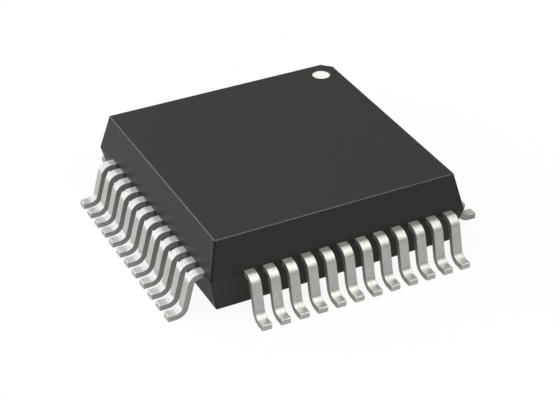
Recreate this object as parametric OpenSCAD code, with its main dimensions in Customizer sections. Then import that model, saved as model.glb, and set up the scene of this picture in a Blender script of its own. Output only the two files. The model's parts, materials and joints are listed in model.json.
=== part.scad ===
// Quad flat pack chip: a moulded square body with a row of gull-wing leads on each side.
// The origin is the centre of the footprint on the plane of the feet, with +Z up.
// Lead 1 is beside the marked corner at -X +Y, and the count runs counter-clockwise from above.

/* [Body] */
// Room for the corner of the body past the middle of a row's end lead, before the row's shift
corner_room = 0.75; // [0.7:0.01:1.2]
// Height of the body above the parting line
upper_h = 1; // [0.8:0.05:1.6]
// Height of the body below the parting line
lower_h = 1; // [0.7:0.05:1.6]
// Slope of the side faces away from upright, in degrees
draft = 13; // [3:1:15]
// Gap between the underside of the body and the plane of the feet
standoff = 0.06; // [0.04:0.01:0.2]
// Radius of the edges round the top face and the underside
edge_r = 0.035; // [0.01:0.005:0.05]
// Leg of the small flat on each upright corner
corner_flat = 0.035; // [0.01:0.005:0.05]
// Leg of the chamfer on the marked corner, at the top face
marked_chamfer = 0.25; // [0.15:0.05:0.4]

/* [Index mark] */
// Diameter of the round recess that marks lead 1
mark_d = 0.51; // [0.3:0.01:0.7]
// Distance from the centre of the recess to the widest part of each side
mark_inset = 0.73; // [0.7:0.01:1]
// Depth of the recess
mark_depth = 0.065; // [0.03:0.005:0.1]
// Thickness of the white paint on the floor of the recess
paint_t = 0.01; // [0.005:0.005:0.02]

/* [Leads] */
// Distance between the middles of neighbouring leads
pitch = 0.5; // [0.4:0.01:0.8]
// Distance from the middle of a row to the middle of its side
row_shift = 0.25; // [0:0.05:0.25]
// Width of a lead outside the body
lead_w = 0.26; // [0.2:0.01:0.3]
// Thickness of the sheet metal that the leads are stamped from
lead_t = 0.155; // [0.1:0.005:0.2]
// Straight length between the widest part of the body and the upper bend
run_out = 0.12; // [0.05:0.01:0.2]
// Inner radius of the upper bend
upper_bend_r = 0.15; // [0.1:0.01:0.2]
// Inner radius of the lower bend
lower_bend_r = 0.2; // [0.1:0.01:0.25]
// Slope of the shin below level, in degrees
shin_angle = 75.5; // [65:0.5:85]
// Length of the flat part of the foot
foot_l = 0.205; // [0.15:0.005:0.4]
// Length of the parallel root of a lead inside the body
root_l = 0.2; // [0.15:0.05:0.3]
// Width of a lead at its inner tip
tip_w = 0.13; // [0.1:0.01:0.15]
// Distance from the middle of a row's end tip to the corner of the die pad, along the pad's side
tip_corner = 0.115; // [0.1:0.005:0.3]
// Gap between the inner tips and the edge of the die pad
tip_gap = 0.25; // [0.2:0.01:0.3]

/* [Die pad] */
// Width and depth of the die pad
pad_w = 3.2; // [2.9:0.1:3.4]
// Depth of the die pad below the leads
down_set = 0.25; // [0.15:0.01:0.3]
// Width of the four bars that tie the pad to the corners
tie_w = 0.12; // [0.08:0.01:0.14]
// Distance from the pad's corner to the foot of the slope in each bar
tie_flat = 0.2; // [0.1:0.05:0.3]
// Length of the slope in each bar, seen from above
tie_slope = 0.3; // [0.2:0.05:0.4]
// Distance from the body's upright corners to the ends of the bars
tie_inset = 0.45; // [0.35:0.05:0.6]

/* [Die] */
// Width and depth of the silicon die
die_w = 2.4; // [2.2:0.1:2.6]
// Thickness of the die
die_t = 0.28; // [0.2:0.01:0.32]
// Thickness of the adhesive under the die
attach_t = 0.025; // [0.015:0.005:0.04]
// How far the adhesive shows past each side of the die
attach_margin = 0.06; // [0.02:0.01:0.1]

/* [Bond wires] */
// Diameter of the wire
wire_d = 0.03; // [0.02:0.005:0.035]
// Diameter of the ball bond on the die
ball_d = 0.07; // [0.05:0.005:0.08]
// Height of the ball bond
ball_h = 0.02; // [0.01:0.005:0.03]
// Straight rise of the wire above the die
rise_h = 0.1; // [0.06:0.01:0.12]
// Length of the loop between its two kinks, seen from above
loop_run = 0.07; // [0.04:0.01:0.1]
// Rise of the loop between its two kinks
loop_rise = 0.04; // [0.02:0.01:0.06]
// Distance from the middle of a row's end ball bond to the corner of the die, along the die's side
ball_corner = 0.21; // [0.15:0.01:0.3]
// Distance from the ball bonds to the edge of the die
ball_inset = 0.09; // [0.06:0.01:0.12]
// Diameter of the stitch bond on the lead
stitch_d = 0.06; // [0.04:0.005:0.07]
// Thickness of the stitch bond
stitch_t = 0.01; // [0.005:0.005:0.015]
// Distance from the stitch bond to the lead's inner tip
stitch_inset = 0.12; // [0.06:0.01:0.15]

/* [Hidden] */
sides = 4;
per_side = 12;
lead_count = sides * per_side;

// Smoothness of circles, bends, edges and wires
$fn = 48;
bend_steps = 10;
edge_steps = 4;
wire_facets = 8;

// Length by which waste and cuts run past the surfaces that they leave
past = 1;

// Spacing along the four sides
gaps = per_side - 1;
body_w = gaps * pitch + 2 * corner_room;
tip_pitch = (pad_w - 2 * tip_corner) / gaps;
ball_pitch = (die_w - 2 * ball_corner) / gaps;

// Levels above the plane of the feet
parting_z = standoff + lower_h;
top_z = parting_z + upper_h;
frame_top_z = parting_z + lead_t / 2;
pad_z = parting_z - down_set;
pad_top_z = pad_z + lead_t / 2;
die_z = pad_top_z + attach_t;
die_top_z = die_z + die_t;

// Distances from the middle of the body
half_w = body_w / 2;
mark_at = half_w - mark_inset;
root_x = half_w - root_l;
tip_x = pad_w / 2 + tip_gap;
bend_x = half_w + run_out;
ball_x = die_w / 2 - ball_inset;
stitch_x = tip_x + stitch_inset;

// Radii of the two bends at the middle of the sheet, and the shin that joins them
upper_r = upper_bend_r + lead_t / 2;
lower_r = lower_bend_r + lead_t / 2;
bend_drop = (upper_r + lower_r) * (1 - cos(shin_angle));
shin_l = (parting_z - lead_t / 2 - bend_drop) / sin(shin_angle);

function two_digits(n) = n < 10 ? str("0", n) : str(n);
function lead_name(n) = str("lead_", two_digits(n));
function first_lead(side) = side * per_side + 1;
function last_lead(side) = first_lead(side) + per_side - 1;
function wires_name(side) =
    str("bond_wires_", two_digits(first_lead(side)), "_", two_digits(last_lead(side)));

// Places along a row, counted from its first lead
function from_middle(i) = i - gaps / 2;
function lead_y(i) = from_middle(i) * pitch + row_shift;
function tip_y(i) = from_middle(i) * tip_pitch;
function ball_y(i) = from_middle(i) * ball_pitch;
function stitch_y(i) = tip_y(i) + (lead_y(i) - tip_y(i)) * stitch_inset / (root_x - tip_x);

// Point at an angle from level on a circle
function on_circle(centre, r, a) = centre + r * [cos(a), sin(a)];

// Turns a row that points along +X into the row of the given side
module on_side(side) {
    rotate([0, 0, 180 + 90 * side]) children();
}

// Extrudes an outline drawn in the plane of X and Z, to an equal depth on both sides of it
module upright(depth) {
    rotate([90, 0, 0]) linear_extrude(height = depth, center = true) children();
}

// One rounded edge of the side profile, from the sloping face to the flat face, with z from the parting line
function edge_arc(h) =
    let (
        z = h - edge_r,
        x = half_w - (z * sin(draft) + edge_r) / cos(draft)
    )
    [for (i = [0 : edge_steps]) on_circle([x, z], edge_r, draft + (90 - draft) * i / edge_steps)];

// Right half of the side profile, from the underside to the top, with z from the parting line
function side_profile() = concat(
    [for (i = [edge_steps : -1 : 0]) let (p = edge_arc(lower_h)[i]) [p[0], -p[1]]],
    [[half_w, 0]],
    edge_arc(upper_h)
);

module drafted_slab() {
    right = side_profile();
    last = len(right) - 1;
    left = [for (i = [last : -1 : 0]) [-right[i][0], right[i][1]]];
    translate([0, 0, parting_z]) upright(body_w + past) polygon(concat(right, left));
}

// Distance from the middle to the flat that cuts a leg off a square corner
function flat_distance(half, leg) = sqrt(2) * half - leg / sqrt(2);

// Waste outside one upright corner: the flat lies at the given distance from the middle at the
// parting line and leans inward by the given slope above and below it
module corner_waste(angle, distance, slope) {
    up = upper_h + past;
    down = lower_h + past;
    outer = distance + body_w;
    outline = [
        [distance - down * slope, -down],
        [distance, 0],
        [distance - up * slope, up],
        [outer, up],
        [outer, -down]
    ];
    translate([0, 0, parting_z]) rotate([0, 0, angle]) upright(body_w) polygon(outline);
}

module corner_wastes() {
    lean = tan(draft);
    marked_top = flat_distance(half_w - upper_h * lean, marked_chamfer);
    for (angle = [45, 225, 315]) corner_waste(angle, flat_distance(half_w, corner_flat), lean * sqrt(2));
    corner_waste(135, marked_top + upper_h * lean, lean);
}

module outer_body() {
    difference() {
        intersection() {
            drafted_slab();
            rotate([0, 0, 90]) drafted_slab();
        }
        corner_wastes();
    }
}

module at_mark(z) {
    translate([-mark_at, mark_at, z]) children();
}

module body() {
    color([0.25, 0.25, 0.24]) difference() {
        outer_body();
        at_mark(top_z - mark_depth) cylinder(d = mark_d, h = mark_depth + past);
        for (side = [0 : sides - 1], i = [0 : per_side - 1]) on_side(side) lead_root(i);
        paddle();
        adhesive();
        silicon();
        for (side = [0 : sides - 1], i = [0 : per_side - 1]) on_side(side) wire(i);
    }
}

module index_mark() {
    color("white") at_mark(top_z - mark_depth) cylinder(d = mark_d, h = paint_t);
}

// Part of a lead in the plane of the frame, from its inner tip to the upper bend
module lead_root(i) {
    y = lead_y(i);
    inner_y = tip_y(i);
    outline = [
        [bend_x, y - lead_w / 2],
        [bend_x, y + lead_w / 2],
        [root_x, y + lead_w / 2],
        [tip_x, inner_y + tip_w / 2],
        [tip_x, inner_y - tip_w / 2],
        [root_x, y - lead_w / 2]
    ];
    translate([0, 0, frame_top_z - lead_t]) linear_extrude(height = lead_t) polygon(outline);
}

// Arc of points about a centre, from one angle to another
function bend_arc(centre, r, from, to) =
    [for (i = [0 : bend_steps]) on_circle(centre, r, from + (to - from) * i / bend_steps)];

// Side view of a lead outside the body: upper bend, shin, lower bend and foot
module gull_wing() {
    upper_centre = [bend_x, parting_z - upper_r];
    shin_top = on_circle(upper_centre, upper_r, 90 - shin_angle);
    shin_foot = shin_top + shin_l * [cos(shin_angle), -sin(shin_angle)];
    lower_centre = shin_foot + lower_r * [sin(shin_angle), cos(shin_angle)];
    toe_x = lower_centre[0] + foot_l;
    outline = concat(
        [[half_w, frame_top_z]],
        bend_arc(upper_centre, upper_r + lead_t / 2, 90, 90 - shin_angle),
        bend_arc(lower_centre, lower_r - lead_t / 2, 270 - shin_angle, 270),
        [[toe_x, lead_t], [toe_x, 0]],
        bend_arc(lower_centre, lower_r + lead_t / 2, 270, 270 - shin_angle),
        bend_arc(upper_centre, upper_r - lead_t / 2, 90 - shin_angle, 90),
        [[half_w, frame_top_z - lead_t]]
    );
    upright(lead_w) polygon(outline);
}

module lead(n) {
    side = floor((n - 1) / per_side);
    i = (n - 1) % per_side;
    color([0.8, 0.8, 0.8]) on_side(side) {
        lead_root(i);
        translate([0, lead_y(i), 0]) gull_wing();
    }
}

// Die pad with its four tie bars
module paddle() {
    translate([0, 0, pad_z]) cube([pad_w, pad_w, lead_t], center = true);
    for (angle = [45 : 90 : 315]) rotate([0, 0, angle]) tie_bar();
}

// Tie bar along +X: it leaves the pad's corner level, slopes up and ends level with the leads
module tie_bar() {
    corner = pad_w / sqrt(2);
    slope_start = corner + tie_flat;
    slope_end = slope_start + tie_slope;
    end = flat_distance(half_w, 0) - tie_inset;
    middle = [[0, pad_z], [slope_start, pad_z], [slope_end, parting_z], [end, parting_z]];
    lift = [0, lead_t / 2];
    outline = concat(
        [for (p = middle) p + lift],
        [for (i = [len(middle) - 1 : -1 : 0]) middle[i] - lift]
    );
    upright(tie_w) polygon(outline);
}

module die_pad() {
    color([0.72, 0.45, 0.2]) paddle();
}

module adhesive() {
    size = die_w + 2 * attach_margin;
    translate([-size / 2, -size / 2, pad_top_z]) cube([size, size, attach_t]);
}

module die_attach() {
    color([0.75, 0.75, 0.72]) adhesive();
}

module silicon() {
    translate([-die_w / 2, -die_w / 2, die_z]) cube([die_w, die_w, die_t]);
}

module die() {
    color([0.35, 0.36, 0.4]) silicon();
}

// Straight eight-sided stretch of wire between two points of its own upright plane, a little longer
// than their distance so that it meets the next stretch
module stretch(from, to) {
    step = to - from;
    translate([from[0], 0, from[1]]) rotate([0, 90 - atan2(step[1], step[0]), 0])
        rotate([0, 0, 180 / wire_facets])
        cylinder(d = wire_d, h = norm(step) + wire_d / 4, $fn = wire_facets);
}

// Bond wire of one lead: ball bond, rise, kinked loop, sloping run and stitch bond
module wire(i) {
    along = [stitch_x - ball_x, stitch_y(i) - ball_y(i)];
    start = [0, die_top_z + ball_h / 2];
    shoulder = [0, die_top_z + rise_h];
    crest = shoulder + [loop_run, loop_rise];
    end = [norm(along), frame_top_z + (wire_d + stitch_t) / 2];
    translate([ball_x, ball_y(i), 0]) rotate([0, 0, atan2(along[1], along[0])]) {
        translate([0, 0, die_top_z]) cylinder(d = ball_d, h = ball_h);
        stretch(start, shoulder);
        stretch(shoulder, crest);
        stretch(crest, end);
        translate([end[0], 0, frame_top_z]) cylinder(d = stitch_d, h = stitch_t);
    }
}

module bond_wires(side) {
    color([0.95, 0.78, 0.35]) on_side(side) for (i = [0 : per_side - 1]) wire(i);
}

body();
index_mark();
for (n = [1 : lead_count]) lead(n);
die_pad();
die_attach();
die();
for (side = [0 : sides - 1]) bond_wires(side);
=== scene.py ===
import json
import math

import bpy
import numpy as np
from mathutils import Matrix, Vector


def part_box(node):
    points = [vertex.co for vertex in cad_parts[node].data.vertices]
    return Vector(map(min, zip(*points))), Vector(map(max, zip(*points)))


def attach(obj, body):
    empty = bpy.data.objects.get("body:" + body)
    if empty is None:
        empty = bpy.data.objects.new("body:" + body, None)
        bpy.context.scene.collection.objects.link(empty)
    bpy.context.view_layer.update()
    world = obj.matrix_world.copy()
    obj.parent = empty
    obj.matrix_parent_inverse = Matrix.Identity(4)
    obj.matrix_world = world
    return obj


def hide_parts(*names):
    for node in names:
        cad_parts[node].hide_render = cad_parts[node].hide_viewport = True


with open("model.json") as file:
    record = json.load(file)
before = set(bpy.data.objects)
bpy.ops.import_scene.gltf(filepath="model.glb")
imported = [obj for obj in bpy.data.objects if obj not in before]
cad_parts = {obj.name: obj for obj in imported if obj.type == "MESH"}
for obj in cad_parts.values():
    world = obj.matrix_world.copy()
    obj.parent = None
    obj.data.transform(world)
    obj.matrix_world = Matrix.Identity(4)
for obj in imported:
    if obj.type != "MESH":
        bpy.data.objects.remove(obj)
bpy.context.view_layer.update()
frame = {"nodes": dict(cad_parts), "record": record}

mm = 0.001

# Places that the pieces share, read from the frame, in millimetres
bodyLow, bodyHigh = (np.array(corner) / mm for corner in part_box("body"))
markLow, markHigh = (np.array(corner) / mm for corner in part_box("index_mark"))
halfBody = bodyHigh[0]
topZ, underZ = bodyHigh[2], bodyLow[2]
partingZ = (topZ + underZ) / 2
markX, markY = ((markLow + markHigh) / 2)[:2]
markRadius = (markHigh[0] - markLow[0]) / 2
print("frame read")


def addPiece(name, points, faces, node):
    # a smooth mesh from points in millimetres and faces of any size, which rides on the part and stands for
    # a node of the CAD
    mesh = bpy.data.meshes.new(name)
    mesh.from_pydata((np.asarray(points) * mm).tolist(), [], [list(map(int, face)) for face in faces])
    mesh.validate()
    mesh.polygons.foreach_set("use_smooth", [True] * len(mesh.polygons))
    mesh.update()
    piece = bpy.data.objects.new(name, mesh)
    bpy.context.scene.collection.objects.link(piece)
    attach(piece, "root")
    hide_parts(node)
    return piece


def gridFaces(rows, columns):
    # quads of a grid whose columns close into a ring, with point row * columns + column
    row, column = np.meshgrid(np.arange(rows - 1), np.arange(columns), indexing="ij")
    a = row * columns + column
    b = row * columns + (column + 1) % columns
    return np.stack([a, b, b + columns, a + columns], axis=-1).reshape(-1, 4)


def closedRings(rings):
    # points and faces of a stack of rings, each an array of columns by 3, with a flat cap on the first
    # ring and on the last
    rows, columns = rings.shape[:2]
    faces = gridFaces(rows, columns).tolist()
    faces.append(list(range(columns))[::-1])
    faces.append(list(range((rows - 1) * columns, rows * columns)))
    return rings.reshape(-1, 3), faces


def flipped(faces):
    # the same faces, looking the other way
    return [face[::-1] for face in faces]


def addMap(piece, name, values):
    # a UV map from one pair of numbers for each point of the mesh
    corners = np.zeros(len(piece.data.loops), dtype=np.int32)
    piece.data.loops.foreach_get("vertex_index", corners)
    layer = piece.data.uv_layers.new(name=name)
    layer.uv.foreach_set("vector", values.reshape(-1, 2)[corners].ravel())


# The body: one shell of rings, from the floor of the mark's recess over the top face, down to the underside
body = {
    "draft": math.radians(13),       # slope of the sides away from upright
    "edgeRadius": 0.024,             # edges round the top and the underside
    "arcSteps": 6,
    "cornerRadius": 0.03,            # upright corners
    "leastRadius": 0.004,            # what is left of that rounding where it meets the top face
    "partingRadius": 0.012,          # ridge where the two halves of the mould met
    "ridgePoints": 3,
    "chamfer": 0.25,                 # leg of the marked corner's chamfer, at the top face
    "chamferRadius": 0.025,          # upright edges of that chamfer
    "recessFloor": 0.065,            # depth of the recess below the top face
    "recessRimRadius": 0.012,
    "rimPoints": 4,
    "floorRing": 0.2,                # radius of the first ring, on the floor of the recess
    "topRings": (0.35, 0.7),         # rings on the top face, as shares of the way from recess to edge
    "rays": 96,                      # directions round the mark's middle in which the rings have points
    "rayMargin": 0.02,               # share of each straight run kept free of those points at either end
    "support": 0.004,                # from a rounded edge to the ring that keeps the face beside it flat
}

# Directions in which the four sides and the marked corner's chamfer face, counter-clockwise from +X
sideAngles = np.radians([0, 90, 135, 180, 270])
chamferSide = 2


def outlineArcs(half, chamferOffset, radii):
    # rounded corners of the body's outline at one level: the sides lie at distance half from the middle,
    # the chamfer at half + chamferOffset, and each corner is an arc about the meeting point of its two
    # sides moved in by the corner's radius
    distances = np.full(len(sideAngles), half)
    distances[chamferSide] += chamferOffset
    following = np.append(sideAngles[1:], sideAngles[0] + 2 * math.pi)
    arcs = []
    for a, b, near, far, radius in zip(sideAngles, following, distances, np.roll(distances, -1), radii):
        normals = np.array([[math.cos(a), math.sin(a)], [math.cos(b), math.sin(b)]])
        centre = np.linalg.solve(normals, np.array([near, far]) - radius)
        turn = np.linspace(a, b, body["arcSteps"] + 1)
        arcs.append(centre + radius * np.stack([np.cos(turn), np.sin(turn)], axis=-1))
    return arcs


def outline(half, chamferOffset, radii, shares):
    # the whole outline: each arc, then the straight run to the next arc at the given shares of its length
    arcs = outlineArcs(half, chamferOffset, radii)
    parts = []
    for arc, nextArc, along in zip(arcs, arcs[1:] + arcs[:1], shares):
        parts += [arc, arc[-1] + along[:, None] * (nextArc[0] - arc[-1])]
    return np.concatenate(parts)


def straightShares(arcs, middle):
    # shares of each straight run at which evenly turned rays from the mark's middle cross it: the cross
    # product of ray and run is nought at the crossing
    turns = np.arange(body["rays"]) * 2 * math.pi / body["rays"]
    rays = np.stack([np.cos(turns), np.sin(turns)], axis=-1)
    margin = body["rayMargin"]
    shares = []
    for arc, nextArc in zip(arcs, arcs[1:] + arcs[:1]):
        run, away = nextArc[0] - arc[-1], middle - arc[-1]
        across = run[0] * rays[:, 1] - run[1] * rays[:, 0]
        with np.errstate(divide="ignore", invalid="ignore"):
            share = (away[0] * rays[:, 1] - away[1] * rays[:, 0]) / across
            reach = (away[0] * run[1] - away[1] * run[0]) / across
        inner = np.sort(share[(share > margin) & (share < 1 - margin) & (reach > 0)])
        edge = min(margin / 2, body["support"] / np.linalg.norm(run))
        shares.append(np.concatenate([[edge], inner, [1 - edge]]))
    return shares


def sideProfile():
    # the side's profile as half width and height above the parting line, from the top face's edge to the
    # underside's: arc, drafted face, rounded ridge, drafted face, arc
    lean, radius = body["draft"], body["edgeRadius"]
    arcTurn = np.linspace(math.pi / 2, lean, body["arcSteps"] + 1)
    centreZ = topZ - partingZ - radius
    centreX = halfBody - (centreZ * math.sin(lean) + radius) / math.cos(lean)
    arc = np.stack([centreX + radius * np.cos(arcTurn), centreZ + radius * np.sin(arcTurn)], axis=-1)
    ridge = body["partingRadius"]
    ridgeTurn = np.linspace(lean, 0, body["ridgePoints"])
    ridgeArc = np.stack([halfBody - ridge + ridge * np.cos(ridgeTurn), ridge * np.sin(ridgeTurn)], axis=-1)
    ridgeArc[:, 0] += halfBody - ridgeArc[0, 0] - ridgeArc[0, 1] * math.tan(lean)
    ridgeArc[:, 0] = np.minimum(ridgeArc[:, 0], halfBody)
    down = np.array([math.sin(lean), -math.cos(lean)]) * body["support"]
    upper = np.concatenate([arc, [arc[-1] + down], [ridgeArc[0] - down], ridgeArc])
    lower = upper[::-1] * [1, -1]
    return np.concatenate([upper, lower[1:]])


def bodyRings():
    # rings of the shell, each the outline at one level, or on the top face a blend of the mark's circle and
    # the outline along rays from the mark's middle, and a mask of the rounded edges, which get a painted
    # highlight, and of the upright corners, which get painted shade
    lean, height = math.tan(body["draft"]), topZ - partingZ
    profile = sideProfile()
    squareTop = halfBody - height * lean
    chamferOffset = math.sqrt(2) * squareTop - body["chamfer"] / math.sqrt(2) - squareTop
    corner, beside = body["cornerRadius"], body["chamferRadius"]
    baseRadii = np.array([corner, beside, beside, corner, corner])
    insets = np.maximum(halfBody - np.abs(profile[:, 1]) * lean - profile[:, 0], 0)
    radii = [np.maximum(baseRadii - inset, body["leastRadius"]) for inset in insets]

    middle = np.array([markX, markY])
    topArcs = outlineArcs(profile[0, 0], chamferOffset, radii[0])
    shares = straightShares(topArcs, middle)
    topOutline = outline(profile[0, 0], chamferOffset, radii[0], shares)
    supportOutline = outline(profile[0, 0] - body["support"], chamferOffset, radii[0], shares)
    toOutline = topOutline - middle
    circle = toOutline / np.linalg.norm(toOutline, axis=1, keepdims=True)
    inCorner = np.concatenate([np.append(np.ones(len(arc)), np.zeros(len(share)))
                               for arc, share in zip(topArcs, shares)])
    rings, highlight_shade_mask = [], []

    def addRing(flat, z, edge=0.0, upright=0.0):
        rings.append(np.column_stack([flat, np.full(len(flat), z)]))
        highlight_shade_mask.append(np.column_stack([np.full(len(flat), edge), inCorner * upright]))

    rim, floorZ = body["recessRimRadius"], topZ - body["recessFloor"]
    for radius in (body["floorRing"], markRadius):
        addRing(middle + circle * radius, floorZ)
    addRing(middle + circle * markRadius, topZ - rim - body["support"])
    for turn in np.linspace(0, math.pi / 2, body["rimPoints"]):
        radius = markRadius + rim * (1 - math.cos(turn))
        addRing(middle + circle * radius, topZ - rim * (1 - math.sin(turn)))
    nearby = middle + circle * (markRadius + rim + body["support"])
    addRing(nearby, topZ)
    for share in body["topRings"]:
        addRing(nearby + share * (supportOutline - nearby), topZ)
    addRing(supportOutline, topZ)
    steps = body["arcSteps"]
    edges = np.zeros(len(profile))
    edges[:steps + 1] = np.sin(np.linspace(0, math.pi, steps + 1))
    edges[-steps - 1:] = edges[:steps + 1]
    for (half, z), ringRadii, edge in zip(profile, radii, edges):
        addRing(outline(half, chamferOffset, ringRadii, shares), partingZ + z, edge, 1.0 - edge)
    addRing(supportOutline, underZ)
    return np.stack(rings), np.stack(highlight_shade_mask)


bodyShape, bodyHighlightShadeMask = bodyRings()
bodyPoints, bodyFaces = closedRings(bodyShape)
bodyPiece = addPiece("moulded_body", bodyPoints, flipped(bodyFaces), "body")
# map of where the painted highlight (rounded edges) and the painted shade (upright corners) go, with their
# roughness
addMap(bodyPiece, "highlight_shade_mask", bodyHighlightShadeMask)    # 1 on the rounded edges, and 1 on the upright corners
print("body made:", len(bodyFaces), "faces")

# The white paint: a thin disc that climbs a little where it meets the recess's wall
paint = {
    "rings": 10,
    "columns": 64,
    "centre": 0.06,                  # radius of the first ring, as a share of the disc's
    "gap": 0.0005,                   # between the paint and the wall
    "fill": 0.012,                   # how far the poured paint stands above the thin layer of the solid
    "climb": 0.006,                  # height of the paint at the wall above its middle
    "sink": 0.001,                   # how far its underside lies into the floor of the recess
}


def paintRings():
    # upper surface as height over radius, level in the middle and rising with the sixth power of the
    # radius, then straight down to the level underside
    turn = np.linspace(0, 2 * math.pi, paint["columns"], endpoint=False)
    spread = np.linspace(paint["centre"], 1, paint["rings"])
    reach = np.concatenate([spread, [1.0], spread[::-1]]) * (markRadius - paint["gap"])
    top = markHigh[2] + paint["fill"] + paint["climb"] * spread ** 6
    under = np.full(paint["rings"], markLow[2] - paint["sink"])
    height = np.concatenate([top, [(top[-1] + under[0]) / 2], under])
    x = markX + reach[:, None] * np.cos(turn)
    y = markY + reach[:, None] * np.sin(turn)
    return np.stack([x, y, np.broadcast_to(height[:, None], x.shape)], axis=-1)


paintPoints, paintFaces = closedRings(paintRings())
paintPiece = addPiece("mark_paint", paintPoints, flipped(paintFaces), "index_mark")
print("paint made")

# The leads: a rounded oblong section carried along the formed strip
lead = {
    "perSide": 12,
    "pitch": 0.5,
    "rowShift": 0.25,                # the rows sit half a pitch round from the middle of their sides
    "width": 0.26,
    "thickness": 0.155,
    "runOut": 0.12,                  # straight length between the body and the upper bend
    "upperBend": 0.15,               # inner radii of the bends
    "lowerBend": 0.2,
    "bendStep": math.radians(5),
    "shinAngle": math.radians(75.5),
    "shinShares": (0.02, 0.25, 0.5, 0.75, 0.98),
    "footLength": 0.205,
    "rootLength": 0.2,               # parallel length inside the body
    "beforeBend": 0.08,              # from the section beside the body to the upper bend
    "tipWidth": 0.13,
    "tipPitch": 0.27,
    "tipX": 1.85,                    # place of the inner tips
    "edgeRadius": 0.010,             # long edges, left by the stamping tool
    "toeRadius": 0.028,              # edges of the foot's end
    "leastRadius": 0.002,            # corners of the foot's end face
    "cornerSteps": 4,
    "support": 0.003,
    "mapStep": (1.7, 0.9),           # shift of the surface's pattern from one lead to the next
}


def arcStations(centre, radius, slopes):
    # x, z and slope on an arc of the strip: from its centre, the radius times the slope's sine and cosine
    x, z = centre[0] + radius * np.sin(slopes), centre[1] + radius * np.cos(slopes)
    return np.stack([x, z, slopes], axis=-1)


def levelStations(x, z):
    # x, z and slope at the given places on a level stretch
    return np.stack([x, np.full(len(x), z), np.zeros(len(x))], axis=-1)


def stripPath():
    # middle of the strip seen from the side, as x, z and slope at each station, and how far the section
    # has drawn in there: level from the inner tip, arc to the shin's slope, straight shin, arc back to
    # level, and the foot, which draws in over a quarter circle at its end
    angle, half, support = lead["shinAngle"], lead["thickness"] / 2, lead["support"]
    upper, lower = lead["upperBend"] + half, lead["lowerBend"] + half
    bendX = halfBody + lead["runOut"]
    levelX = [lead["tipX"], halfBody - lead["rootLength"], bendX - lead["beforeBend"], bendX - support]

    along = np.array([math.cos(angle), -math.sin(angle)])
    out = np.array([math.sin(angle), math.cos(angle)])
    shinLength = (partingZ - half - (upper + lower) * (1 - math.cos(angle))) / math.sin(angle)
    upperCentre = np.array([bendX, partingZ - upper])
    shinTop = upperCentre + upper * out
    shin = shinTop + np.array(lead["shinShares"])[:, None] * shinLength * along
    lowerCentre = shinTop + shinLength * along + lower * out
    steps = math.ceil(angle / lead["bendStep"])

    radius, toeX = lead["toeRadius"], lowerCentre[0] + lead["footLength"]
    turn = np.linspace(0, math.pi / 2, lead["cornerSteps"] + 1)
    footX = np.concatenate([[lowerCentre[0] + support, toeX - radius - 2 * support],
                            toeX - radius * (1 - np.sin(turn)), [toeX]])
    stations = np.concatenate([
        levelStations(levelX, partingZ),
        arcStations(upperCentre, upper, np.linspace(0, angle, steps + 1)),
        np.column_stack([shin, np.full(len(shin), angle)]),
        arcStations(lowerCentre, -lower, np.linspace(angle, 0, steps + 1)),
        levelStations(footX, half)])
    drawn = np.append(radius * (1 - np.cos(turn)), radius + support)
    return stations, np.append(np.zeros(len(stations) - len(drawn)), drawn)


def sectionOffsets(halfWidth, halfThickness, radius):
    # the rounded oblong section, as offsets across the strip and out of it: a quarter circle at each
    # corner, about a centre one radius inside both sides, and a point on the straight before and after it
    quarter = np.linspace(0, math.pi / 2, lead["cornerSteps"] + 1)
    turn = np.concatenate([quarter[:1], quarter, quarter[-1:]])
    push = np.zeros(len(turn))
    push[0], push[-1] = -lead["support"], lead["support"]
    right = np.repeat([1, -1, -1, 1], len(turn))
    top = np.repeat([1, 1, -1, -1], len(turn))
    turn = (turn + np.arange(4)[:, None] * math.pi / 2).ravel()
    push = np.tile(push, 4)
    across = right * (halfWidth - radius) + radius * np.cos(turn) - push * np.sin(turn)
    out = top * (halfThickness - radius) + radius * np.sin(turn) + push * np.cos(turn)
    return across, out


def leadRings(index):
    # rings of one lead of the row that points along +X: the section at each station, turned to the strip's
    # slope and moved across from the fanned inner tip to the row's pitch, with a map of places along and
    # across the strip and one of what is cut
    stations, insets = stripPath()
    x, z, slope = stations.T[..., None]
    inset = insets[:, None]
    middle = index - (lead["perSide"] - 1) / 2
    outerY = middle * lead["pitch"] + lead["rowShift"]
    tipY = middle * lead["tipPitch"]
    rootX = halfBody - lead["rootLength"]
    share = np.clip((x - lead["tipX"]) / (rootX - lead["tipX"]), 0, 1)
    y = tipY + share * (outerY - tipY)
    width = lead["tipWidth"] + share * (lead["width"] - lead["tipWidth"])
    radius = np.maximum(lead["edgeRadius"] - inset, lead["leastRadius"])
    across, out = sectionOffsets(width / 2 - inset, lead["thickness"] / 2 - inset, radius)
    rings = np.stack([x + out * np.sin(slope), y + across, z + out * np.cos(slope)], axis=-1)
    steps = np.linalg.norm(np.diff(stations[:, :2], axis=0), axis=1)
    run = np.append(0, np.cumsum(steps))[:, None]
    ended = np.minimum(inset / lead["toeRadius"], 1)
    strip = np.stack([across + out, np.broadcast_to(run, out.shape)], axis=-1)
    cut = np.stack([np.abs(across) / (width / 2), np.broadcast_to(ended, out.shape)], axis=-1)
    return rings, strip, cut


def turnToSide(points, side):
    # turns the +X row by half a turn and a quarter for each side: row 0 at -X, 1 at -Y, 2 at +X, 3 at +Y
    turn = math.pi + side * math.pi / 2
    c, s = round(math.cos(turn)), round(math.sin(turn))
    x, y, z = points[..., 0], points[..., 1], points[..., 2]
    return np.stack([c * x - s * y, s * x + c * y, z], axis=-1)


leadPieces = []
for number in range(1, 4 * lead["perSide"] + 1):
    side, index = divmod(number - 1, lead["perSide"])
    rings, strip, cut = leadRings(index)
    points, faces = closedRings(turnToSide(rings, side))
    piece = addPiece(f"formed_lead_{number:02d}", points, faces, f"lead_{number:02d}")
    shift = [number * step for step in lead["mapStep"]]
    addMap(piece, "strip", strip + shift)    # millimetres across and along, no two alike
    addMap(piece, "cut", cut)                # 1 on the sheared sides, and 1 on the trimmed end
    leadPieces.append(piece)
print("leads made:", len(leadPieces))


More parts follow.
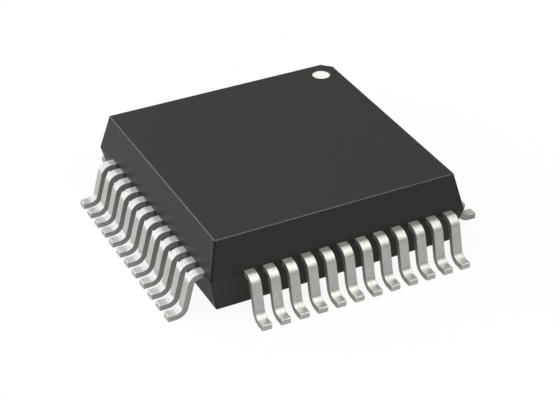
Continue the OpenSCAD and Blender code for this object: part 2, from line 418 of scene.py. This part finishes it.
class Signal:
    # an output of a material's node tree, on which arithmetic adds Math nodes
    def __init__(self, tree, socket=None):
        self.tree, self.socket = tree, socket

    def node(self, kind, settings=None, inputs=None, output=0):
        # any node, from its type, its settings, the values or signals of its inputs and the output wanted
        new = self.tree.nodes.new(kind)
        for name, value in (settings or {}).items():
            setattr(new, name, value)
        for name, value in (inputs or {}).items():
            if isinstance(value, Signal):
                self.tree.links.new(value.socket, new.inputs[name])
            else:
                new.inputs[name].default_value = value
        return Signal(self.tree, new.outputs[output])

    def __add__(self, other):
        return self.node("ShaderNodeMath", {"operation": "ADD"}, {0: self, 1: other})

    def __sub__(self, other):
        return self.node("ShaderNodeMath", {"operation": "SUBTRACT"}, {0: self, 1: other})

    def __mul__(self, other):
        return self.node("ShaderNodeMath", {"operation": "MULTIPLY"}, {0: self, 1: other})

    def __rsub__(self, other):
        return self.node("ShaderNodeMath", {"operation": "SUBTRACT"}, {0: other, 1: self})

    __radd__, __rmul__ = __add__, __mul__


def sibling(signal, output):
    # another output of the node that a signal comes from
    return Signal(signal.tree, signal.socket.node.outputs[output])


def startMaterial(name, values):
    # a new material, its start signal and its main shader, with the values that are the same all over
    material = bpy.data.materials.new(name)
    material.use_nodes = True
    tree = material.node_tree
    shader = tree.nodes["Principled BSDF"]
    for socket, value in values.items():
        shader.inputs[socket].default_value = value
    return material, Signal(tree), shader


def feed(shader, **signals):
    # links signals to the shader's inputs, whose spaces are underscores here
    for name, signal in signals.items():
        signal.tree.links.new(signal.socket, shader.inputs[name.replace("_", " ")])


def noise(start, place, scale, detail=2.0, roughness=0.5):
    return start.node("ShaderNodeTexNoise", {"noise_dimensions": "3D"},
                      {"Vector": place, "Scale": scale, "Detail": detail, "Roughness": roughness})


def mixColour(start, share, dark, light):
    return start.node("ShaderNodeMix", {"data_type": "RGBA"}, {0: share, 6: dark, 7: light}, output=2)


def relief(start, height, depth, under=None):
    # bumps of a pattern, on top of another relief where one is given
    inputs = {"Strength": 1.0, "Distance": depth, "Height": height}
    if under:
        inputs["Normal"] = under
    return start.node("ShaderNodeBump", None, inputs)


def smoothStep(start, value, low, high):
    return start.node("ShaderNodeMapRange", {"interpolation_type": "SMOOTHSTEP"},
                      {"Value": value, "From Min": low, "From Max": high})


compound = {
    "dark": (0.0132, 0.0131, 0.0123, 1),
    "light": (0.0175, 0.0173, 0.0162, 1),
    "specks": 9000.0,                # grains of filler per metre
    "speckShare": 0.7,               # shares of the two in the pattern
    "clouds": 260.0,
    "cloudShare": 0.3,
    "roughness": 0.45,
    "roughnessSpread": 0.1,
    "specular": 0.5,
    "texture": 22000.0,              # the mould's fine finish
    "textureDepth": 0.0000012,
    "paintedEdgeHighlight": (0.120, 0.120, 0.120, 1),      # painted highlight: rounded edges coloured pale to brighten their shine, and smooth by their lower roughness
    "edgeRoughness": 0.21,
    "paintedCornerShade": (0.003, 0.003, 0.003, 1),    # painted shade: upright corners coloured near black
    "cornerRoughness": 0.2,
    "cornerShadeMetallic": 0.5,           # with so dark a colour this takes that share of the shine away, deepening the painted shade
}


def compoundMaterial():
    # specks and clouds mix the two darks and vary the roughness, then the edge and corner map mixes in a
    # painted highlight colour and lower roughness on the rounded edges, and painted shade and its own
    # roughness on the upright corners
    evenly = {"Specular IOR Level": compound["specular"]}
    material, start, shader = startMaterial("moulding_compound", evenly)
    place = start.node("ShaderNodeTexCoord", output="Object")
    specks = noise(start, place, compound["specks"], detail=3.0, roughness=0.6)
    clouds = noise(start, place, compound["clouds"])
    share = specks * compound["speckShare"] + clouds * compound["cloudShare"]
    edge = start.node("ShaderNodeSeparateXYZ", None, {0: start.node("ShaderNodeUVMap", {"uv_map": "highlight_shade_mask"})})
    upright = sibling(edge, 1)
    colour = mixColour(start, share, compound["dark"], compound["light"])
    # painted highlight: a pale colour mixed in along the rounded edges
    colour = mixColour(start, edge, colour, compound["paintedEdgeHighlight"])
    # painted shade: a near-black colour mixed in along the upright corners
    colour = mixColour(start, upright, colour, compound["paintedCornerShade"])
    spread, roughness = compound["roughnessSpread"], compound["roughness"]
    rough = share * spread + (roughness - spread / 2)
    rough = rough - edge * (roughness - compound["edgeRoughness"])
    rough = rough - upright * (roughness - compound["cornerRoughness"])
    texture = noise(start, place, compound["texture"], roughness=0.6)
    feed(shader, Base_Color=colour, Roughness=rough, Metallic=upright * compound["cornerShadeMetallic"],
         Normal=relief(start, texture, compound["textureDepth"]))
    return material


tin = {
    "dark": (0.56, 0.555, 0.54, 1),
    "light": (0.82, 0.815, 0.80, 1),
    "lines": (34.0, 1.6, 1.0),       # rolling lines per millimetre across the strip and along it
    "lineShare": 1.1,                # shares of the three in the pattern, less an offset
    "lineDepth": 0.0000035,
    "grain": 24000.0,                # crystals of the matt tin per metre
    "grainShare": 1.5,
    "grainDepth": 0.0000016,
    "clouds": 3000.0,
    "cloudShare": 0.4,
    "offset": 1.0,
    "metallic": 0.84,                # matt tin scatters part of the light
    "roughness": 0.40,
    "roughnessSpread": 0.1,
    "shearedAndShaded": 0.65,                 # share of the colour left on the sheared sides, partly their duller cut metal and partly painted shade between the leads
    "shearedRoughness": 0.5,
    "shearedFrom": (0.95, 0.995),    # where they begin and are in full, as shares of half the strip's width
    "trimmed": 0.92,                 # share of the colour left on the trimmed end
    "trimmedFrom": (0.6, 0.95),      # where it begins and is in full, as shares of the toe's rounding
}


def tinMaterial():
    # lines, grain and clouds mix the two greys, the cut map takes part of the colour away on the sheared
    # sides, partly as painted shade between the leads, and on the trimmed end, and lines and grain are both
    # raised
    material, start, shader = startMaterial("tin_plate", {"Metallic": tin["metallic"]})
    parts = start.node("ShaderNodeSeparateXYZ", None, {0: start.node("ShaderNodeUVMap", {"uv_map": "cut"})})
    side = smoothStep(start, parts, *tin["shearedFrom"])
    end = smoothStep(start, sibling(parts, 1), *tin["trimmedFrom"])
    strip = start.node("ShaderNodeUVMap", {"uv_map": "strip"})
    rolled = start.node("ShaderNodeMapping", None, {"Vector": strip, "Scale": tin["lines"]})
    lines = noise(start, rolled, 1.0, roughness=0.6)
    place = start.node("ShaderNodeTexCoord", output="Object")
    grain = noise(start, place, tin["grain"], roughness=0.6)
    cloud = noise(start, place, tin["clouds"])
    share = lines * tin["lineShare"] + grain * tin["grainShare"] + cloud * tin["cloudShare"] - tin["offset"]
    colour = mixColour(start, share, tin["dark"], tin["light"])
    # sheared sides darkened, partly for their duller cut metal and partly as painted shade between the
    # leads; the trimmed end a little darker
    kept = 1.0 - (1.0 - end) * side * (1 - tin["shearedAndShaded"]) - end * (1 - tin["trimmed"])
    cutAndShadedColour = start.node("ShaderNodeVectorMath", {"operation": "SCALE"}, {0: colour, "Scale": kept})
    spread, roughness = tin["roughnessSpread"], tin["roughness"]
    rough = side * (tin["shearedRoughness"] - roughness) + cloud * spread + (roughness - spread / 2)
    raised = relief(start, grain, tin["grainDepth"], under=relief(start, lines, tin["lineDepth"]))
    feed(shader, Base_Color=cutAndShadedColour, Roughness=rough, Normal=raised)
    return material


# Paint, and the metals, paste and crystal inside the body: grain in the colour and the roughness, and a
# relief of the same grain where a depth is given
grained = {
    "white_ink": {
        "colour": (0.97, 0.97, 0.95, 1), "spots": (0.92, 0.92, 0.90, 1), "metallic": 0.0,
        "roughness": 0.55, "spread": 0.1, "grain": 14000.0, "grainRoughness": 0.6, "depth": 0.000001},
    "copper_alloy": {
        "colour": (0.72, 0.38, 0.22, 1), "spots": (0.80, 0.45, 0.28, 1), "metallic": 1.0,
        "roughness": 0.28, "spread": 0.15, "grain": 9000.0, "grainRoughness": 0.5, "depth": 0.0000006},
    "silver_adhesive": {
        "colour": (0.50, 0.49, 0.47, 1), "spots": (0.62, 0.61, 0.59, 1), "metallic": 0.4,
        "roughness": 0.48, "spread": 0.15, "grain": 30000.0, "grainRoughness": 0.5, "depth": 0.0},
    "silicon": {
        "colour": (0.10, 0.11, 0.14, 1), "spots": (0.14, 0.15, 0.19, 1), "metallic": 0.5,
        "roughness": 0.11, "spread": 0.15, "grain": 2500.0, "grainRoughness": 0.5, "depth": 0.0},
    "gold_wire": {
        "colour": (0.92, 0.66, 0.26, 1), "spots": (0.97, 0.73, 0.33, 1), "metallic": 1.0,
        "roughness": 0.15, "spread": 0.15, "grain": 20000.0, "grainRoughness": 0.5, "depth": 0.0000006},
}


def grainedMaterial(name):
    # the grain mixes the two colours, and adds up to the spread to the least roughness
    values = grained[name]
    material, start, shader = startMaterial(name, {"Metallic": values["metallic"]})
    place = start.node("ShaderNodeTexCoord", output="Object")
    grain = noise(start, place, values["grain"], detail=3.0, roughness=values["grainRoughness"])
    feed(shader, Base_Color=mixColour(start, grain, values["colour"], values["spots"]),
         Roughness=grain * values["spread"] + values["roughness"])
    if values["depth"]:
        feed(shader, Normal=relief(start, grain, values["depth"]))
    return material


materials = {"moulding_compound": compoundMaterial(), "tin_plate": tinMaterial()}
materials |= {name: grainedMaterial(name) for name in grained}
slotOfNode = {entry["node"]: entry["material_slot"] for entry in frame["record"]["subparts"]}
for node, thing in frame["nodes"].items():
    thing.data.materials.clear()
    thing.data.materials.append(materials[slotOfNode[node]])
bodyPiece.data.materials.append(materials["moulding_compound"])
paintPiece.data.materials.append(materials["white_ink"])
for piece in leadPieces:
    piece.data.materials.append(materials["tin_plate"])
print("materials made")

# The floor: pale and lit like the rest, with plain white mixed in where the camera or a reflection looks
floor = {
    "size": 2.0,                     # metres
    "colour": (0.45, 0.45, 0.45, 1),
    "cameraColour": (0.95, 0.95, 0.95, 1),
    "cameraWhite": 0.92,             # share of plain white, the rest being lit and shaded
    "reflectedWhite": 0.30,
}


def whiteShare(start, seen, reflected):
    # how much plain white a ray meets: one share where the camera looks, another in reflections and glass
    camera = start.node("ShaderNodeLightPath", output="Is Camera Ray")
    mirrored = start.node("ShaderNodeMath", {"operation": "MAXIMUM"},
                          {0: sibling(camera, "Is Glossy Ray"), 1: sibling(camera, "Is Transmission Ray")})
    return camera * seen + mirrored * reflected


def makeFloor():
    mesh = bpy.data.meshes.new("floor")
    half = floor["size"] / 2
    corners = [(-half, -half, 0), (half, -half, 0), (half, half, 0), (-half, half, 0)]
    mesh.from_pydata(corners, [], [(0, 1, 2, 3)])
    plane = bpy.data.objects.new("floor", mesh)
    bpy.context.scene.collection.objects.link(plane)
    material, start, shader = startMaterial("floor", {"Roughness": 0.9, "Specular IOR Level": 0.0})
    camera = start.node("ShaderNodeLightPath", output="Is Camera Ray")
    feed(shader, Base_Color=mixColour(start, camera, floor["colour"], floor["cameraColour"]))
    white = start.node("ShaderNodeEmission", None, {"Color": (1, 1, 1, 1), "Strength": 1.0})
    share = whiteShare(start, floor["cameraWhite"], floor["reflectedWhite"])
    lit = Signal(start.tree, shader.outputs[0])
    mixed = start.node("ShaderNodeMixShader", None, {0: share, 1: lit, 2: white})
    start.tree.links.new(mixed.socket, start.tree.nodes["Material Output"].inputs["Surface"])
    mesh.materials.append(material)


makeFloor()

# Soft studio light: a dim even world, white where the camera looks past the floor, and large soft boxes
worldLight = {"strength": 0.08, "cameraWhite": 1.0, "reflectedWhite": 0.12}
boxDistance = 0.5                    # metres from the object
softBoxes = {
    # azimuth and elevation in degrees, width and height in metres, brightness (1 is white) and colour
    "top": (0, 90, (0.5, 0.5), 1.78, (1.0, 0.99, 0.91)),
    "back": (120, 52, (0.4, 0.35), 1.40, (1.0, 0.99, 0.94)),
    "far": (-120, 50, (0.4, 0.4), 0.24, (1.0, 1.0, 0.97)),
    "left": (-78, 40, (0.35, 0.3), 1.12, (0.84, 0.90, 1.0)),
    "leftKey": (-62, 30, (0.12, 0.12), 1.7, (1.0, 1.0, 1.0)),
    "frontLeft": (-35, 15, (0.4, 0.25), 2.1, (0.94, 0.97, 1.0)),
    "front": (0, 38, (0.35, 0.35), 1.7, (1.0, 1.0, 0.94)),
    "frontRight": (55, 15, (0.4, 0.25), 0.74, (1.0, 0.97, 0.86)),
    "right": (90, 30, (0.3, 0.3), 0.35, (1.0, 0.93, 0.78)),
}


def direction(azimuth, elevation):
    # unit vector towards an azimuth, 0 at -Y and 90 at +X, and an elevation
    a, e = math.radians(azimuth), math.radians(elevation)
    return Vector((math.sin(a) * math.cos(e), -math.cos(a) * math.cos(e), math.sin(e)))


def makeLight():
    world = bpy.data.worlds.new("studio")
    bpy.context.scene.world = world
    world.use_nodes = True
    background = world.node_tree.nodes["Background"]
    background.inputs["Color"].default_value = (1, 1, 1, 1)
    share = whiteShare(Signal(world.node_tree), worldLight["cameraWhite"], worldLight["reflectedWhite"])
    strength = share * (1 - worldLight["strength"]) + worldLight["strength"]
    feed(background, Strength=strength)
    for name, (azimuth, elevation, size, brightness, colour) in softBoxes.items():
        data = bpy.data.lights.new(name, "AREA")
        data.shape = "RECTANGLE"
        data.size, data.size_y = size
        data.energy = brightness * math.pi * size[0] * size[1]
        data.color = colour
        lamp = bpy.data.objects.new(name, data)
        away = direction(azimuth, elevation)
        lamp.location = away * boxDistance
        lamp.rotation_euler = away.to_track_quat("Z", "Y").to_euler()
        bpy.context.scene.collection.objects.link(lamp)


makeLight()

# The camera, at the photograph's viewing angle for its 560 by 400 frame
view = {
    "azimuth": 63.064,
    "elevation": 32.819,
    "roll": -0.022,
    "distance": 41.174,              # from the point looked at, in millimetres
    "target": (1.0122, -0.4169, 1.0576),
    "focalLength": 104.73,
    "sensorWidth": 36.0,
    "clip": (0.001, 10.0),           # nearest and farthest distance drawn, in metres
}


def makeCamera():
    data = bpy.data.cameras.new("camera")
    data.sensor_width = view["sensorWidth"]
    data.lens = view["focalLength"]
    data.clip_start, data.clip_end = view["clip"]
    camera = bpy.data.objects.new("camera", data)
    back = direction(view["azimuth"], view["elevation"])
    camera.location = Vector(view["target"]) * mm + back * view["distance"] * mm
    spin = Matrix.Rotation(math.radians(view["roll"]), 4, "Z")
    camera.rotation_euler = (back.to_track_quat("Z", "Y").to_matrix().to_4x4() @ spin).to_euler()
    bpy.context.scene.collection.objects.link(camera)
    bpy.context.scene.camera = camera


makeCamera()
bpy.context.scene.view_settings.view_transform = "Standard"
print("stage, light and camera set")
